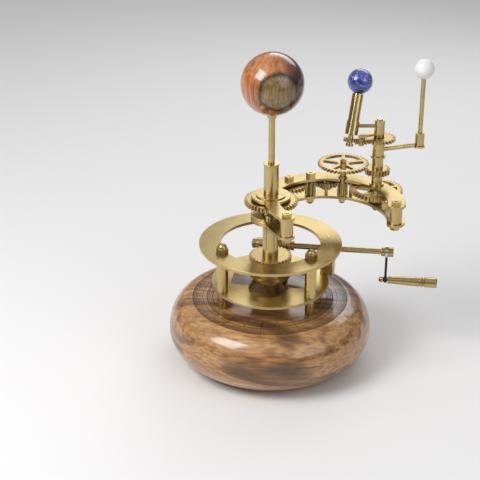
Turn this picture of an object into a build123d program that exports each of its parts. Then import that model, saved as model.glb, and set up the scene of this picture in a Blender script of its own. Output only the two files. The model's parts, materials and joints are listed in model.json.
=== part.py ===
from build123d import *
from math import acos, asin, atan2, ceil, cos, degrees, hypot, pi, radians, sin, sqrt, tan
import os

# Base and frame, millimetres
BASE_HEIGHT = 41.0
BASE_RADIUS = 65.0
BASE_FOOT_RADIUS = 40.0
BASE_TOP_RADIUS = 50.0
BASE_WIDEST_HEIGHT = 21.0
FELT_THICKNESS = 1.0
FELT_RADIUS = 35.8
FELT_MARGIN = 0.2
LOWER_PLATE_TOP = BASE_HEIGHT + 12.0
LOWER_PLATE_RADIUS = 37.5
LOWER_PLATE_THICKNESS = 1.8
FRONT_HOLE_RADIUS = 11.8
FRONT_HOLE_OFFSET = 13.2
WINDOW_INNER = 11.5
WINDOW_OUTER = 24.0
WINDOW_FRONT = 9.5
WINDOW_BACK = 17.0
RING_TOP = LOWER_PLATE_TOP + 27.0
RING_RADIUS = 45.0
RING_INNER_RADIUS = 31.5
RING_THICKNESS = 2.0
PILLAR_RADIUS = 3.6
PILLAR_X = 27.6
PILLAR_Y = 19.8
STANDOFF_RADIUS = 3.0
BRACKET_X = 35.5
BRACKET_WIDTH = 9.0
BRACKET_DEPTH = 13.0

# Hexagon nuts and small screws
NUT_FLATS = 5.5
NUT_HEIGHT = 2.6
TALL_NUT_HEIGHT = 3.8
CAP_NUT_FLATS = 6.6
CAP_NUT_HEIGHT = 3.0
THREAD_RADIUS = 1.5
SCREW_HEAD_RADIUS = 1.2
SCREW_HEAD_HEIGHT = 0.6

# Fixed post, column and Sun
POST_RADIUS = 3.0
POST_FLATS = 7.0
POST_FOOT_HEIGHT = 12.6
COLUMN_RADIUS = 5.0
COLUMN_FLANGE_RADIUS = 12.6
COLUMN_FLANGE_THICKNESS = 3.0
SUN_SOCKET_RADIUS = 4.6
SUN_ROD_RADIUS = 2.0
SUN_RADIUS = 19.1
FERRULE_RADIUS = 2.8
FERRULE_LENGTH = 3.0

# Worm drive
WHEEL_TEETH = 32
WHEEL_FACE = 3.5
WHEEL_BOTTOM = LOWER_PLATE_TOP + 1.4
WHEEL_HUB_RADIUS = 10.8
WHEEL_RIM_BOTTOM = WHEEL_BOTTOM + 2.8
WHEEL_RIM_RADIUS = 13.4
WHEEL_RIM_TOP = WHEEL_RIM_BOTTOM + 1.8
WHEEL_BODY_RADIUS = 11.8
WHEEL_TOP = WHEEL_RIM_TOP + 11.8
WORM_PITCH_RADIUS = 5.2
WORM_LENGTH = 11.0
WORM_TURNS = 3.5
WORM_THREAD_DEPTH = 0.65
WORM_BACKLASH = 0.28

# Crank
SHAFT_RADIUS = 1.8
SHAFT_END = 76.0
BEARING_GAP = 0.4
BEARING_WIDTH = 5.0
BEARING_BLOCK_DEPTH = 8.0
BEARING_BLOCK_TOP = 5.0
CLAMP_START = 72.0
CLAMP_WIDTH = 1.8
CLAMP_RADIUS = 4.4
COLLAR_LENGTH = 2.6
COLLAR_RADIUS = 2.9
END_CAP_LENGTH = 3.4
END_CAP_RADIUS = 3.1
CRANK_ARM_X = CLAMP_START + CLAMP_WIDTH / 2
CRANK_THROW = 20.0
CRANK_ARM_RADIUS = 0.8
CRANK_ARM_SEAT = 2.2
BALL_NUT_RADIUS = 1.9
BALL_NUT_FLAT = 1.5
EYE_RADIUS = 2.0
EYE_WIDTH = 2.0
PIN_IN_NUT = 1.6
GRIP_PIN_RADIUS = 0.9
GRIP_START = 74.4
GRIP_LENGTH = 31.6
GRIP_SMALL_RADIUS = 2.35
GRIP_LARGE_RADIUS = 3.3
GRIP_GROOVE_FROM_END = 9.2
GRIP_GROOVE_DEPTH = 0.7

# Arm
ARM_ANGLE = 22.4
ARM_TOP = WHEEL_TOP + 41.2
ARM_PLATE_THICKNESS = 1.8
ARM_PLATE_GAP = 10.3
ARM_LENGTH = 69.0
CRESCENT_CENTRE_X = ARM_LENGTH * 0.474
CRESCENT_CENTRE_Y = -17.8
CRESCENT_INNER_RADIUS = 35.2
CRESCENT_WIDTH = 10.8
HUB_DISC_RADIUS = 12.3
HUB_CAP_RADIUS = 9.4
HUB_CAP_THICKNESS = 0.8
TAIL_X = 0.6
TAIL_Y = -33.4
TAIL_BEND_RADIUS = 45.0
TAIL_WIDTH = 9.0
TAIL_LOBE_RADIUS = 4.9
END_X = ARM_LENGTH + 1.0
END_Y = -32.5
END_LOBE_RADIUS = 5.2
ARM_PILLAR_RADIUS = 4.0
STUD_RADIUS = 1.0

# Sun
SUN_SOCKET_TOP = ARM_TOP + 21.2
SUN_HEIGHT = SUN_SOCKET_TOP + 50.5

# Gear train
MODULE = 0.8
PRESSURE_ANGLE = 20.0
TOOTH_BACKLASH = 0.12
ADDENDUM = 0.85
DEDENDUM = 1.2
LEAF_WAIST = 0.8
SUN_TEETH = 40
IDLER_1_TEETH = 28
LEAVES = 7
IDLER_2_TEETH = 19
SPOKED_TEETH = 39
MOON_TEETH = 18
IDLER_3_TEETH = 9
HEAD_TEETH = 40
SPIN_TEETH = 24
HEAD_IDLER_TEETH = 9
EARTH_TEETH = 8
COMPOUND_BEARING = 140.3
FIRST_STAGE_SLACK = 0.66
SECOND_STAGE_SLACK = 0.105
TRAIN_TOP = ARM_TOP - 2.6
TRAIN_FACE = 2.5
SUN_GEAR_FACE = 3.0
PINION_BOTTOM = ARM_TOP - 11.7
SPOKED_TOP = ARM_TOP + 10.9
SPOKED_FACE = 1.8
MOON_GEAR_TOP = SPOKED_TOP + 0.4
MOON_GEAR_FACE = 3.8
SPOKES = 5

# Earth column, Moon and Earth
HEAD_SHAFT_RADIUS = 1.4
COLUMN_TUBE_RADIUS = 2.2
BUSH_RADIUS = 3.3
BUSH_FLANGE_RADIUS = 4.6
MOON_TUBE_RADIUS = 3.4
MOON_FLANGE_RADIUS = 4.7
MOON_FLANGE_TOP = MOON_GEAR_TOP + 8.5
MOON_BOSS_RADIUS = 3.6
MOON_BOSS_TOP = MOON_FLANGE_TOP + 10.2
MOON_ARM_HEIGHT = MOON_FLANGE_TOP + 3.7
MOON_ARM_RADIUS = 1.4
MOON_ARM_LENGTH = 28.0
MOON_ANGLE = 4.1
MOON_SOCKET_RADIUS = 2.9
MOON_SOCKET_HEIGHT = 8.2
MOON_ROD_RADIUS = 1.45
MOON_RADIUS = 6.2
MOON_HEIGHT = MOON_ARM_HEIGHT + 49.3
SPIN_GEAR_FACE = 2.0
HEAD_HUB_RADIUS = 3.2
BAR_HEIGHT = MOON_BOSS_TOP + 9.3
HEAD_TOP = BAR_HEIGHT + 4.0
BAR_RADIUS = 1.2
BRACKET_PLATE_BOTTOM = MOON_BOSS_TOP + 4.0
BRACKET_PLATE_THICKNESS = 1.4
SLEEVE_ANGLE = 166.1
EARTH_TILT = 23.4
TILT_ANGLE = 52.1
SLEEVE_LOWER_RADIUS = 4.0
SLEEVE_UPPER_RADIUS = 3.5
SLEEVE_BELOW = 5.6
SLEEVE_STEP = 2.8
SLEEVE_ABOVE = 19.8
SPINDLE_RADIUS = 1.6
SPINDLE_BELOW = 13.0
SPINDLE_CAP_RADIUS = 2.4
EARTH_RADIUS = 7.8
EARTH_DISTANCE = 27.5

# Clearances
RUNNING_FIT = 0.05
FACE_GAP = 0.3
SEAT_GAP = 0.0


def at(shape, x, y, z=0.0):
    return Pos(x, y, z) * shape


def rod(radius, bottom, top, x=0.0, y=0.0):
    "upright round bar"
    blank = Cylinder(radius, top - bottom, align=(Align.CENTER, Align.CENTER, Align.MIN))
    return at(blank, x, y, bottom)


def through(radius, place=(0.0, 0.0)):
    "upright bar long enough to cut the whole arm's height"
    return rod(radius, ARM_TOP - 25, ARM_TOP + 25, *place)


def tube(outer, inner, bottom, top, x=0.0, y=0.0):
    "upright hollow bar"
    return rod(outer, bottom, top, x, y) - rod(inner, bottom - 1, top + 1, x, y)


def lying_rod(radius, start, end, y, z):
    "round bar along X"
    return Pos(start, y, z) * Rot(0, 90, 0) * rod(radius, 0, end - start)


def hexagon(flats, bottom, top, x=0.0, y=0.0):
    "hexagonal bar"
    face = RegularPolygon(flats / 2, 6, major_radius=False)
    return at(extrude(face, top - bottom), x, y, bottom)


def nut(x, y, bottom, bore=THREAD_RADIUS, flats=NUT_FLATS, height=NUT_HEIGHT):
    "hexagon nut with both faces rounded off at the corners"
    body = hexagon(flats, bottom, bottom + height, x, y)
    corner = flats / sqrt(3)
    body &= at(Cone(corner + height - 0.35, corner - 0.35, height, align=(Align.CENTER, Align.CENTER, Align.MIN)), x, y, bottom)
    return body - rod(bore, bottom - 1, bottom + height + 1, x, y)


def cap_nut(x, y, seat, bore, flats, height, up=True):
    "domed nut, closed at the far end"
    dome = flats * 0.46
    body = hexagon(flats, 0, height) + Pos(0, 0, height) * (Sphere(dome) & Pos(0, 0, dome) * Box(4 * dome, 4 * dome, 2 * dome))
    body -= rod(bore, -1, height)
    if not up:
        body = Rot(180, 0, 0) * body
    return at(body, x, y, seat)


def polar(radius, angle):
    return radius * cos(angle), radius * sin(angle)


def involute(angle):
    return tan(angle) - angle


def tooth_flank(teeth, backlash, addendum, module):
    "radius and half angle of one tooth, from the root to the tip"
    pitch = teeth * module / 2
    base = pitch * cos(radians(PRESSURE_ANGLE))
    root = pitch - DEDENDUM * module
    tip = pitch + addendum * module
    at_pitch = (pi * module / 2 - backlash) / (2 * pitch)
    widest = at_pitch + involute(radians(PRESSURE_ANGLE))
    flank = []
    if root < base:
        flank.append((root, widest * LEAF_WAIST))
    start = max(base, root)
    for step in range(4):
        radius = start + (tip - start) * step / 3
        flank.append((radius, widest - involute(acos(min(1, base / radius)))))
    return flank


def gear_outline(teeth, phase=0.0, backlash=TOOTH_BACKLASH, addendum=ADDENDUM, module=MODULE):
    "points round a spur gear, with a tooth centred on the phase angle"
    flank = tooth_flank(teeth, backlash, addendum, module)
    points = []
    for tooth in range(teeth):
        middle = phase + 2 * pi * tooth / teeth
        points += [polar(radius, middle - half) for radius, half in flank]
        points += [polar(radius, middle + half) for radius, half in reversed(flank)]
    return points


def gear_face(teeth, phase=0.0, **shape):
    return make_face(Polyline(*gear_outline(teeth, phase, **shape), close=True))


def pitch_radius(teeth):
    return teeth * MODULE / 2


def meshing_phase(teeth_a, phase_a, direction, teeth_b):
    "phase of gear B whose tooth gap meets gear A, B lying in the given direction from A"
    turns = (direction - phase_a) * teeth_a / (2 * pi)
    return direction + pi - (0.5 - turns) * 2 * pi / teeth_b


def direction(a, b):
    return atan2(b[1] - a[1], b[0] - a[0])


def beside(a, b, from_a, from_b, side):
    "the point at given distances from A and B, left of the line A to B for side 1"
    span = hypot(b[0] - a[0], b[1] - a[1])
    along = (from_a**2 - from_b**2 + span**2) / (2 * span)
    off = side * sqrt(from_a**2 - along**2)
    heading = direction(a, b)
    return (
        a[0] + along * cos(heading) - off * sin(heading),
        a[1] + along * sin(heading) + off * cos(heading),
    )


def spoked(blank, rim_radius, hub_radius, spoke_width, bottom, top):
    "windows cut between the rim and the hub, leaving spokes"
    windows = tube(rim_radius, hub_radius, bottom - 1, top + 1)
    for spoke in range(SPOKES):
        bar = Box(2 * rim_radius, spoke_width, top - bottom + 4, align=(Align.MIN, Align.CENTER, Align.CENTER))
        windows -= Rot(0, 0, 360 * spoke / SPOKES) * Pos(0, 0, (top + bottom) / 2) * bar
    return blank - windows


# Places of the axles in the arm's own plane, with the Earth column on its X axis
SUN = (0.0, 0.0)
COLUMN = (ARM_LENGTH, 0.0)
LEAF_PITCH = pitch_radius(LEAVES)
COMPOUND_REACH = pitch_radius(SPOKED_TEETH + MOON_TEETH)
COMPOUND_ANGLE = radians(COMPOUND_BEARING)
COMPOUND = (ARM_LENGTH + COMPOUND_REACH * cos(COMPOUND_ANGLE), COMPOUND_REACH * sin(COMPOUND_ANGLE))
FIRST_STAGE = pitch_radius(SUN_TEETH + IDLER_1_TEETH) + pitch_radius(IDLER_1_TEETH + LEAVES)
SECOND_STAGE = 2 * pitch_radius(IDLER_2_TEETH + LEAVES)
SLACK = 1 - hypot(*COMPOUND) / (FIRST_STAGE + SECOND_STAGE)
PINION = beside(
    SUN,
    COMPOUND,
    FIRST_STAGE * (1 - FIRST_STAGE_SLACK * SLACK),
    SECOND_STAGE * (1 - SECOND_STAGE_SLACK * SLACK),
    1,
)
IDLER_1 = beside(SUN, PINION, pitch_radius(SUN_TEETH + IDLER_1_TEETH), pitch_radius(IDLER_1_TEETH + LEAVES), 1)
IDLER_2 = beside(PINION, COMPOUND, pitch_radius(IDLER_2_TEETH + LEAVES), pitch_radius(IDLER_2_TEETH + LEAVES), 1)
IDLER_3 = beside(COMPOUND, COLUMN, pitch_radius(LEAVES + IDLER_3_TEETH), pitch_radius(IDLER_3_TEETH + HEAD_TEETH), 1)
TAIL = (TAIL_X, TAIL_Y)
END = (END_X, END_Y)

# Tooth phases, each worked out from the gear before it
SUN_PHASE = 0.0
IDLER_1_PHASE = meshing_phase(SUN_TEETH, SUN_PHASE, direction(SUN, IDLER_1), IDLER_1_TEETH)
PINION_PHASE = meshing_phase(IDLER_1_TEETH, IDLER_1_PHASE, direction(IDLER_1, PINION), LEAVES)
IDLER_2_PHASE = meshing_phase(LEAVES, PINION_PHASE, direction(PINION, IDLER_2), IDLER_2_TEETH)
COMPOUND_PHASE = meshing_phase(IDLER_2_TEETH, IDLER_2_PHASE, direction(IDLER_2, COMPOUND), LEAVES)
IDLER_3_PHASE = meshing_phase(LEAVES, COMPOUND_PHASE, direction(COMPOUND, IDLER_3), IDLER_3_TEETH)
HEAD_PHASE = meshing_phase(IDLER_3_TEETH, IDLER_3_PHASE, direction(IDLER_3, COLUMN), HEAD_TEETH)
MOON_PHASE = meshing_phase(SPOKED_TEETH, 0.0, direction(COMPOUND, COLUMN), MOON_TEETH)

# Heights
PLATE_BOTTOM = ARM_TOP - ARM_PLATE_THICKNESS
LOW_PLATE_TOP = PLATE_BOTTOM - ARM_PLATE_GAP
LOW_PLATE_BOTTOM = LOW_PLATE_TOP - ARM_PLATE_THICKNESS
COLUMN_TOP = LOW_PLATE_BOTTOM
RING_BOTTOM = RING_TOP - RING_THICKNESS
PLATE_UNDERSIDE = LOWER_PLATE_TOP - LOWER_PLATE_THICKNESS
SHAFT_Z = WHEEL_TOP - WHEEL_FACE / 2
SHAFT_Y = pitch_radius(WHEEL_TEETH) + WORM_PITCH_RADIUS
WORM_LEAD = pi * MODULE
BEARING_X = WORM_LENGTH / 2 + BEARING_GAP


def on_arm(shape):
    "from the arm's own plane to its rest place"
    return Rot(0, 0, ARM_ANGLE) * shape


# Base


def elliptical_quarter(flat_radius, wide_radius, waist, level, rising):
    "quarter of an ellipse between the flat at a level and the widest line"
    points = []
    for step in range(9):
        turn = pi / 2 * step / 8
        points.append((flat_radius + (wide_radius - flat_radius) * sin(turn), waist + (level - waist) * cos(turn)))
    tangents = [(1, 0), (0, 1)]
    if rising:
        points.reverse()
        tangents = [(0, 1), (-1, 0)]
    return Spline(*points, tangents=tangents)


def base():
    "turned bun: flat foot and top joined by two elliptical quarters"
    waist = BASE_WIDEST_HEIGHT
    foot_curve = elliptical_quarter(BASE_FOOT_RADIUS, BASE_RADIUS, waist, 0, False)
    top_curve = elliptical_quarter(BASE_TOP_RADIUS, BASE_RADIUS, waist, BASE_HEIGHT, True)
    outline = [
        Line((0, 0), foot_curve @ 0),
        foot_curve,
        top_curve,
        Line(top_curve @ 1, (0, BASE_HEIGHT)),
        Line((0, BASE_HEIGHT), (0, 0)),
    ]
    bun = revolve(Plane.XZ * make_face(outline), Axis.Z)
    bun -= rod(FELT_RADIUS + FELT_MARGIN, -1, FELT_THICKNESS)
    for x, y in standoff_places():
        bun -= rod(THREAD_RADIUS, BASE_HEIGHT - 12, BASE_HEIGHT + 1, x, y)
    bun -= rod(POST_RADIUS, BASE_HEIGHT - 15, BASE_HEIGHT + 1)
    return bun


def felt():
    return rod(FELT_RADIUS, 0, FELT_THICKNESS)


# Frame


def pillar_places():
    return [(-PILLAR_X, -PILLAR_Y), (PILLAR_X, -PILLAR_Y)]


def standoff_places():
    return pillar_places() + [(0.0, 31.0)]


def lower_plate():
    plate = rod(LOWER_PLATE_RADIUS, PLATE_UNDERSIDE, LOWER_PLATE_TOP)
    cut_bottom = PLATE_UNDERSIDE - 1
    cut_top = LOWER_PLATE_TOP + 1
    plate -= rod(FRONT_HOLE_RADIUS, cut_bottom, cut_top, 0, -FRONT_HOLE_OFFSET)
    plate -= rod(POST_FLATS / 2 + 2, cut_bottom, cut_top)
    for side in (-1, 1):
        window = Pos(
            side * (WINDOW_INNER + WINDOW_OUTER) / 2,
            (WINDOW_BACK - WINDOW_FRONT) / 2,
            (cut_top + cut_bottom) / 2,
        ) * extrude(
            RectangleRounded(WINDOW_OUTER - WINDOW_INNER, WINDOW_BACK + WINDOW_FRONT, 2.5),
            (cut_top - cut_bottom) / 2,
            both=True,
        )
        plate -= window
    for x, y in standoff_places():
        plate -= rod(THREAD_RADIUS, cut_bottom, cut_top, x, y)
    return plate


def standoffs():
    "turned spacers between the base and the lower plate, with their studs"
    group = []
    for x, y in standoff_places():
        group.append(rod(STANDOFF_RADIUS, BASE_HEIGHT, PLATE_UNDERSIDE, x, y) + rod(THREAD_RADIUS, BASE_HEIGHT - 12, PLATE_UNDERSIDE, x, y))
    return group


def pillars():
    "front pillars, each with a stud through both plates"
    group = []
    for x, y in pillar_places():
        body = rod(PILLAR_RADIUS, LOWER_PLATE_TOP, RING_BOTTOM, x, y)
        stud = rod(THREAD_RADIUS, PLATE_UNDERSIDE, RING_TOP + CAP_NUT_HEIGHT - 0.2, x, y)
        group.append(body + stud)
    return group


def ring():
    plate = tube(RING_RADIUS, RING_INNER_RADIUS, RING_BOTTOM, RING_TOP)
    for x, y in pillar_places():
        plate += rod(PILLAR_RADIUS + 0.2, RING_BOTTOM, RING_TOP, x, y)
        plate -= rod(THREAD_RADIUS, RING_BOTTOM - 1, RING_TOP + 1, x, y)
    plate -= rod(THREAD_RADIUS, RING_BOTTOM - 1, RING_TOP + 1, *bracket_screw())
    return plate


def ring_cap_nuts():
    return [cap_nut(x, y, RING_TOP, THREAD_RADIUS, CAP_NUT_FLATS, CAP_NUT_HEIGHT) for x, y in pillar_places()]


def bracket_screw():
    return BRACKET_X, SHAFT_Y - 4.5


def bracket():
    "rear block that carries the ring and the outer end of the crank shaft"
    block = Pos(BRACKET_X, SHAFT_Y, (LOWER_PLATE_TOP + RING_BOTTOM) / 2) * Box(
        BRACKET_WIDTH, BRACKET_DEPTH, RING_BOTTOM - LOWER_PLATE_TOP
    )
    block = fillet(block.edges().filter_by(Axis.Z), 1.5)
    block -= lying_rod(SHAFT_RADIUS + RUNNING_FIT, BRACKET_X - 20, BRACKET_X + 20, SHAFT_Y, SHAFT_Z)
    x, y = bracket_screw()
    return block + rod(THREAD_RADIUS, RING_BOTTOM - 1, RING_TOP, x, y)


def inner_bearing(side):
    "block beside the worm, with a round top"
    width = BEARING_WIDTH
    start = side * BEARING_X if side > 0 else side * BEARING_X - width
    top = SHAFT_Z
    block = Pos(start + width / 2, SHAFT_Y, (LOWER_PLATE_TOP + top) / 2) * Box(width, BEARING_BLOCK_DEPTH, top - LOWER_PLATE_TOP)
    block += lying_rod(BEARING_BLOCK_DEPTH / 2, start, start + width, SHAFT_Y, SHAFT_Z)
    block -= lying_rod(SHAFT_RADIUS + RUNNING_FIT, start - 1, start + width + 1, SHAFT_Y, SHAFT_Z)
    return block


# Fixed post and Sun


def post():
    "hexagon foot on the base, spindle through the column, shoulder under the sun gear"
    foot_top = BASE_HEIGHT + POST_FOOT_HEIGHT
    body = hexagon(POST_FLATS, BASE_HEIGHT, foot_top)
    body += rod(POST_RADIUS, BASE_HEIGHT - 15, ARM_TOP + 8)
    return body


def sun_gear():
    gear = Pos(0, 0, TRAIN_TOP - SUN_GEAR_FACE) * extrude(gear_face(SUN_TEETH, SUN_PHASE), SUN_GEAR_FACE)
    gear += rod(6.0, LOW_PLATE_TOP + FACE_GAP, TRAIN_TOP - SUN_GEAR_FACE)
    gear += rod(5.0, TRAIN_TOP, ARM_TOP - 0.4)
    gear = Rot(0, 0, ARM_ANGLE) * gear
    return gear - through(POST_RADIUS)


def sun_socket():
    "tube with a small rim, screwed on the post over the sun gear"
    bottom = ARM_TOP - 0.4
    body = rod(SUN_SOCKET_RADIUS, bottom, SUN_SOCKET_TOP)
    body += rod(SUN_SOCKET_RADIUS + 0.35, SUN_SOCKET_TOP - 1.0, SUN_SOCKET_TOP)
    body -= rod(POST_RADIUS, bottom - 1, ARM_TOP + 8)
    return body - rod(SUN_ROD_RADIUS, ARM_TOP + 12, SUN_SOCKET_TOP + 1)


def sun_rod():
    return rod(SUN_ROD_RADIUS, ARM_TOP + 12, SUN_HEIGHT - SUN_RADIUS + 6)


def sun_ferrule():
    bottom = SUN_HEIGHT - SUN_RADIUS - FERRULE_LENGTH + 1
    body = tube(FERRULE_RADIUS, SUN_ROD_RADIUS, bottom, bottom + FERRULE_LENGTH)
    return body - Pos(0, 0, SUN_HEIGHT) * Sphere(SUN_RADIUS)


def sun():
    ball = Pos(0, 0, SUN_HEIGHT) * Sphere(SUN_RADIUS)
    return ball - rod(SUN_ROD_RADIUS, SUN_HEIGHT - SUN_RADIUS - 2, SUN_HEIGHT - SUN_RADIUS + 6)


# Arm


def drive_wheel():
    "toothed wheel with a drum, rim and hub under it, fixed on the column"
    face = gear_face(WHEEL_TEETH, wheel_phase(), backlash=WORM_BACKLASH)
    wheel = Pos(0, 0, WHEEL_TOP - WHEEL_FACE) * extrude(face, WHEEL_FACE)
    wheel += rod(WHEEL_BODY_RADIUS, WHEEL_RIM_TOP, WHEEL_TOP - WHEEL_FACE)
    wheel += rod(WHEEL_RIM_RADIUS, WHEEL_RIM_BOTTOM, WHEEL_RIM_TOP)
    wheel += rod(WHEEL_HUB_RADIUS, WHEEL_BOTTOM, WHEEL_RIM_BOTTOM)
    return wheel - rod(COLUMN_RADIUS, WHEEL_BOTTOM - 1, WHEEL_TOP + 1)


def wheel_phase():
    "a tooth gap faces the middle thread of the worm"
    return pi / 2 + pi / WHEEL_TEETH


def column():
    "tube round the fixed post, with a flange that carries the arm"
    bore = POST_RADIUS + RUNNING_FIT
    body = tube(COLUMN_RADIUS, bore, WHEEL_BOTTOM, COLUMN_TOP)
    body += tube(COLUMN_FLANGE_RADIUS, bore, COLUMN_TOP - COLUMN_FLANGE_THICKNESS, COLUMN_TOP)
    return body


def sector(centre, inner, outer, start, end):
    "flat band along an arc"
    middle = (inner + outer) / 2
    arc = CenterArc(centre, middle, start, end - start)
    return make_face(
        [
            CenterArc(centre, outer, start, end - start),
            Line(arc_point(centre, outer, end), arc_point(centre, inner, end)),
            CenterArc(centre, inner, start, end - start),
            Line(arc_point(centre, inner, start), arc_point(centre, outer, start)),
        ]
    )


def arc_point(centre, radius, angle):
    return centre[0] + radius * cos(radians(angle)), centre[1] + radius * sin(radians(angle))


def angle_from(centre, point):
    return degrees(atan2(point[1] - centre[1], point[0] - centre[0]))


def arm_outline():
    "hub disc, crescent to the end lobe and short tail to the tail lobe"
    crescent = (CRESCENT_CENTRE_X, CRESCENT_CENTRE_Y)
    outer = CRESCENT_INNER_RADIUS + CRESCENT_WIDTH
    band = sector(crescent, CRESCENT_INNER_RADIUS, outer, angle_from(crescent, END), angle_from(crescent, SUN))
    bend = beside(SUN, TAIL, TAIL_BEND_RADIUS, TAIL_BEND_RADIUS, 1)
    tail_start = angle_from(bend, SUN) % 360
    tail_end = angle_from(bend, TAIL) % 360
    tail = sector(bend, TAIL_BEND_RADIUS - TAIL_WIDTH / 2, TAIL_BEND_RADIUS + TAIL_WIDTH / 2, tail_start, tail_end)
    outline = Circle(HUB_DISC_RADIUS) + band + tail
    outline += Pos(*TAIL) * Circle(TAIL_LOBE_RADIUS)
    outline += Pos(*END) * Circle(END_LOBE_RADIUS)
    return outline


def arm_plate(bottom, hub_bore, compound_bore, column_bore):
    plate = Pos(0, 0, bottom) * extrude(arm_outline(), ARM_PLATE_THICKNESS)
    for radius, place in (
        (hub_bore, SUN),
        (THREAD_RADIUS, TAIL),
        (THREAD_RADIUS, END),
        (STUD_RADIUS, IDLER_1),
        (STUD_RADIUS, PINION),
        (STUD_RADIUS, IDLER_2),
        (STUD_RADIUS, IDLER_3),
        (compound_bore, COMPOUND),
        (column_bore, COLUMN),
    ):
        plate -= rod(radius, bottom - 1, bottom + ARM_PLATE_THICKNESS + 1, *place)
    return plate


def upper_arm_plate():
    bore = SUN_SOCKET_RADIUS + 0.8
    return on_arm(arm_plate(PLATE_BOTTOM, bore, LEAF_PITCH, BUSH_RADIUS))


def lower_arm_plate():
    return on_arm(arm_plate(LOW_PLATE_BOTTOM, POST_RADIUS + RUNNING_FIT, STUD_RADIUS, HEAD_SHAFT_RADIUS + RUNNING_FIT))


def hub_cap():
    "ring over the hub hole that runs round the Sun socket"
    cap = tube(HUB_CAP_RADIUS, SUN_SOCKET_RADIUS + RUNNING_FIT, ARM_TOP, ARM_TOP + HUB_CAP_THICKNESS)
    for x, y in hub_screw_places():
        cap -= rod(SCREW_HEAD_RADIUS, ARM_TOP + HUB_CAP_THICKNESS - 0.3, ARM_TOP + 2, x, y)
    return on_arm(cap)


def hub_screw_places():
    return [arc_point(SUN, 7.2, 100 + 120 * turn) for turn in range(3)]


def hub_screws():
    group = []
    for x, y in hub_screw_places():
        top = ARM_TOP + HUB_CAP_THICKNESS + SCREW_HEAD_HEIGHT - 0.3
        head = rod(SCREW_HEAD_RADIUS, ARM_TOP + HUB_CAP_THICKNESS - 0.3, top, x, y)
        group.append(on_arm(head - Pos(x, y, top) * Box(3, 0.4, 0.5)))
    return group


def flange_screws():
    "steel cap screws that hold the lower arm plate to the column flange"
    group = []
    for turn in range(3):
        x, y = arc_point(SUN, 9.6, -115 + 120 * turn)
        head = rod(1.7, LOW_PLATE_TOP, LOW_PLATE_TOP + 2.2, x, y)
        group.append(on_arm(head - hexagon(1.5, LOW_PLATE_TOP + 1.0, LOW_PLATE_TOP + 3, x, y)))
    return group


def arm_pillars():
    "tail and end pillars with their studs"
    group = []
    for x, y in (TAIL, END):
        body = rod(ARM_PILLAR_RADIUS, LOW_PLATE_TOP, PLATE_BOTTOM, x, y)
        body += rod(THREAD_RADIUS, LOW_PLATE_BOTTOM - NUT_HEIGHT - 0.4, ARM_TOP + NUT_HEIGHT + 0.4, x, y)
        group.append(on_arm(body))
    return group


def arm_nuts():
    group = []
    for x, y in (TAIL, END):
        group.append(on_arm(nut(x, y, ARM_TOP)))
        group.append(on_arm(nut(x, y, LOW_PLATE_BOTTOM - NUT_HEIGHT)))
    return group


def studs():
    "fixed studs that the idlers and the long pinions turn on, some flush and some with nuts"
    group = []
    for place in (IDLER_1, PINION, IDLER_2, IDLER_3, COMPOUND):
        bottom = LOW_PLATE_BOTTOM - 1.5 if place in (PINION, COMPOUND) else LOW_PLATE_BOTTOM
        top = ARM_TOP + NUT_HEIGHT + 0.3 if place == IDLER_1 else ARM_TOP
        if place == PINION:
            top = ARM_TOP + TALL_NUT_HEIGHT + 0.3
        if place == COMPOUND:
            top = SPOKED_TOP + 2.6
        group.append(on_arm(rod(STUD_RADIUS, bottom, top, *place)))
    return group


def stud_nuts():
    "nuts over the first idler, the long pinion and the spoked wheel, domed nuts under the arm"
    group = []
    group.append(on_arm(nut(*IDLER_1, ARM_TOP, bore=STUD_RADIUS)))
    group.append(on_arm(nut(*PINION, ARM_TOP, bore=STUD_RADIUS, height=TALL_NUT_HEIGHT)))
    group.append(on_arm(nut(*COMPOUND, SPOKED_TOP + FACE_GAP, bore=STUD_RADIUS, flats=3.6, height=2.0)))
    for place, flats in ((PINION, 5.2), (COMPOUND, 4.2)):
        group.append(on_arm(cap_nut(*place, LOW_PLATE_BOTTOM, STUD_RADIUS, flats, 1.7, up=False)))
    return group


def bush():
    "flanged bush with the long bearing tube of the moon gear"
    bore = HEAD_SHAFT_RADIUS + RUNNING_FIT
    body = tube(BUSH_RADIUS, bore, PLATE_BOTTOM, MOON_GEAR_TOP - MOON_GEAR_FACE - FACE_GAP, *COLUMN)
    body += tube(BUSH_FLANGE_RADIUS, bore, ARM_TOP, ARM_TOP + 1.0, *COLUMN)
    body += tube(COLUMN_TUBE_RADIUS, bore, ARM_TOP, MOON_BOSS_TOP - 1, *COLUMN)
    return on_arm(body)


# Gear train


def idler(teeth, phase, place):
    bottom = TRAIN_TOP - TRAIN_FACE
    gear = extrude(gear_face(teeth, phase), TRAIN_FACE)
    gear = at(gear, *place, bottom)
    if teeth > LEAVES * 2:
        gear += rod(3.0, bottom - 3.0, bottom, *place)
        gear += rod(3.0, TRAIN_TOP, PLATE_BOTTOM - FACE_GAP, *place)
    return on_arm(gear - rod(STUD_RADIUS + RUNNING_FIT, bottom - 9, TRAIN_TOP + 9, *place))


def long_pinion_body(phase, place):
    gear = extrude(gear_face(LEAVES, phase), TRAIN_TOP - PINION_BOTTOM)
    return at(gear, *place, PINION_BOTTOM)


def pinion():
    body = long_pinion_body(PINION_PHASE, PINION)
    return on_arm(body - through(STUD_RADIUS + RUNNING_FIT, PINION))


def compound_pinion():
    "long pinion with the collar that carries the spoked wheel"
    body = long_pinion_body(COMPOUND_PHASE, COMPOUND)
    body += rod(1.9, TRAIN_TOP, SPOKED_TOP - SPOKED_FACE, *COMPOUND)
    body += rod(2.6, ARM_TOP + FACE_GAP, ARM_TOP + 1.6, *COMPOUND)
    body += rod(3.4, SPOKED_TOP - SPOKED_FACE - 1.4, SPOKED_TOP - SPOKED_FACE, *COMPOUND)
    return on_arm(body - through(STUD_RADIUS + RUNNING_FIT, COMPOUND))


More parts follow.
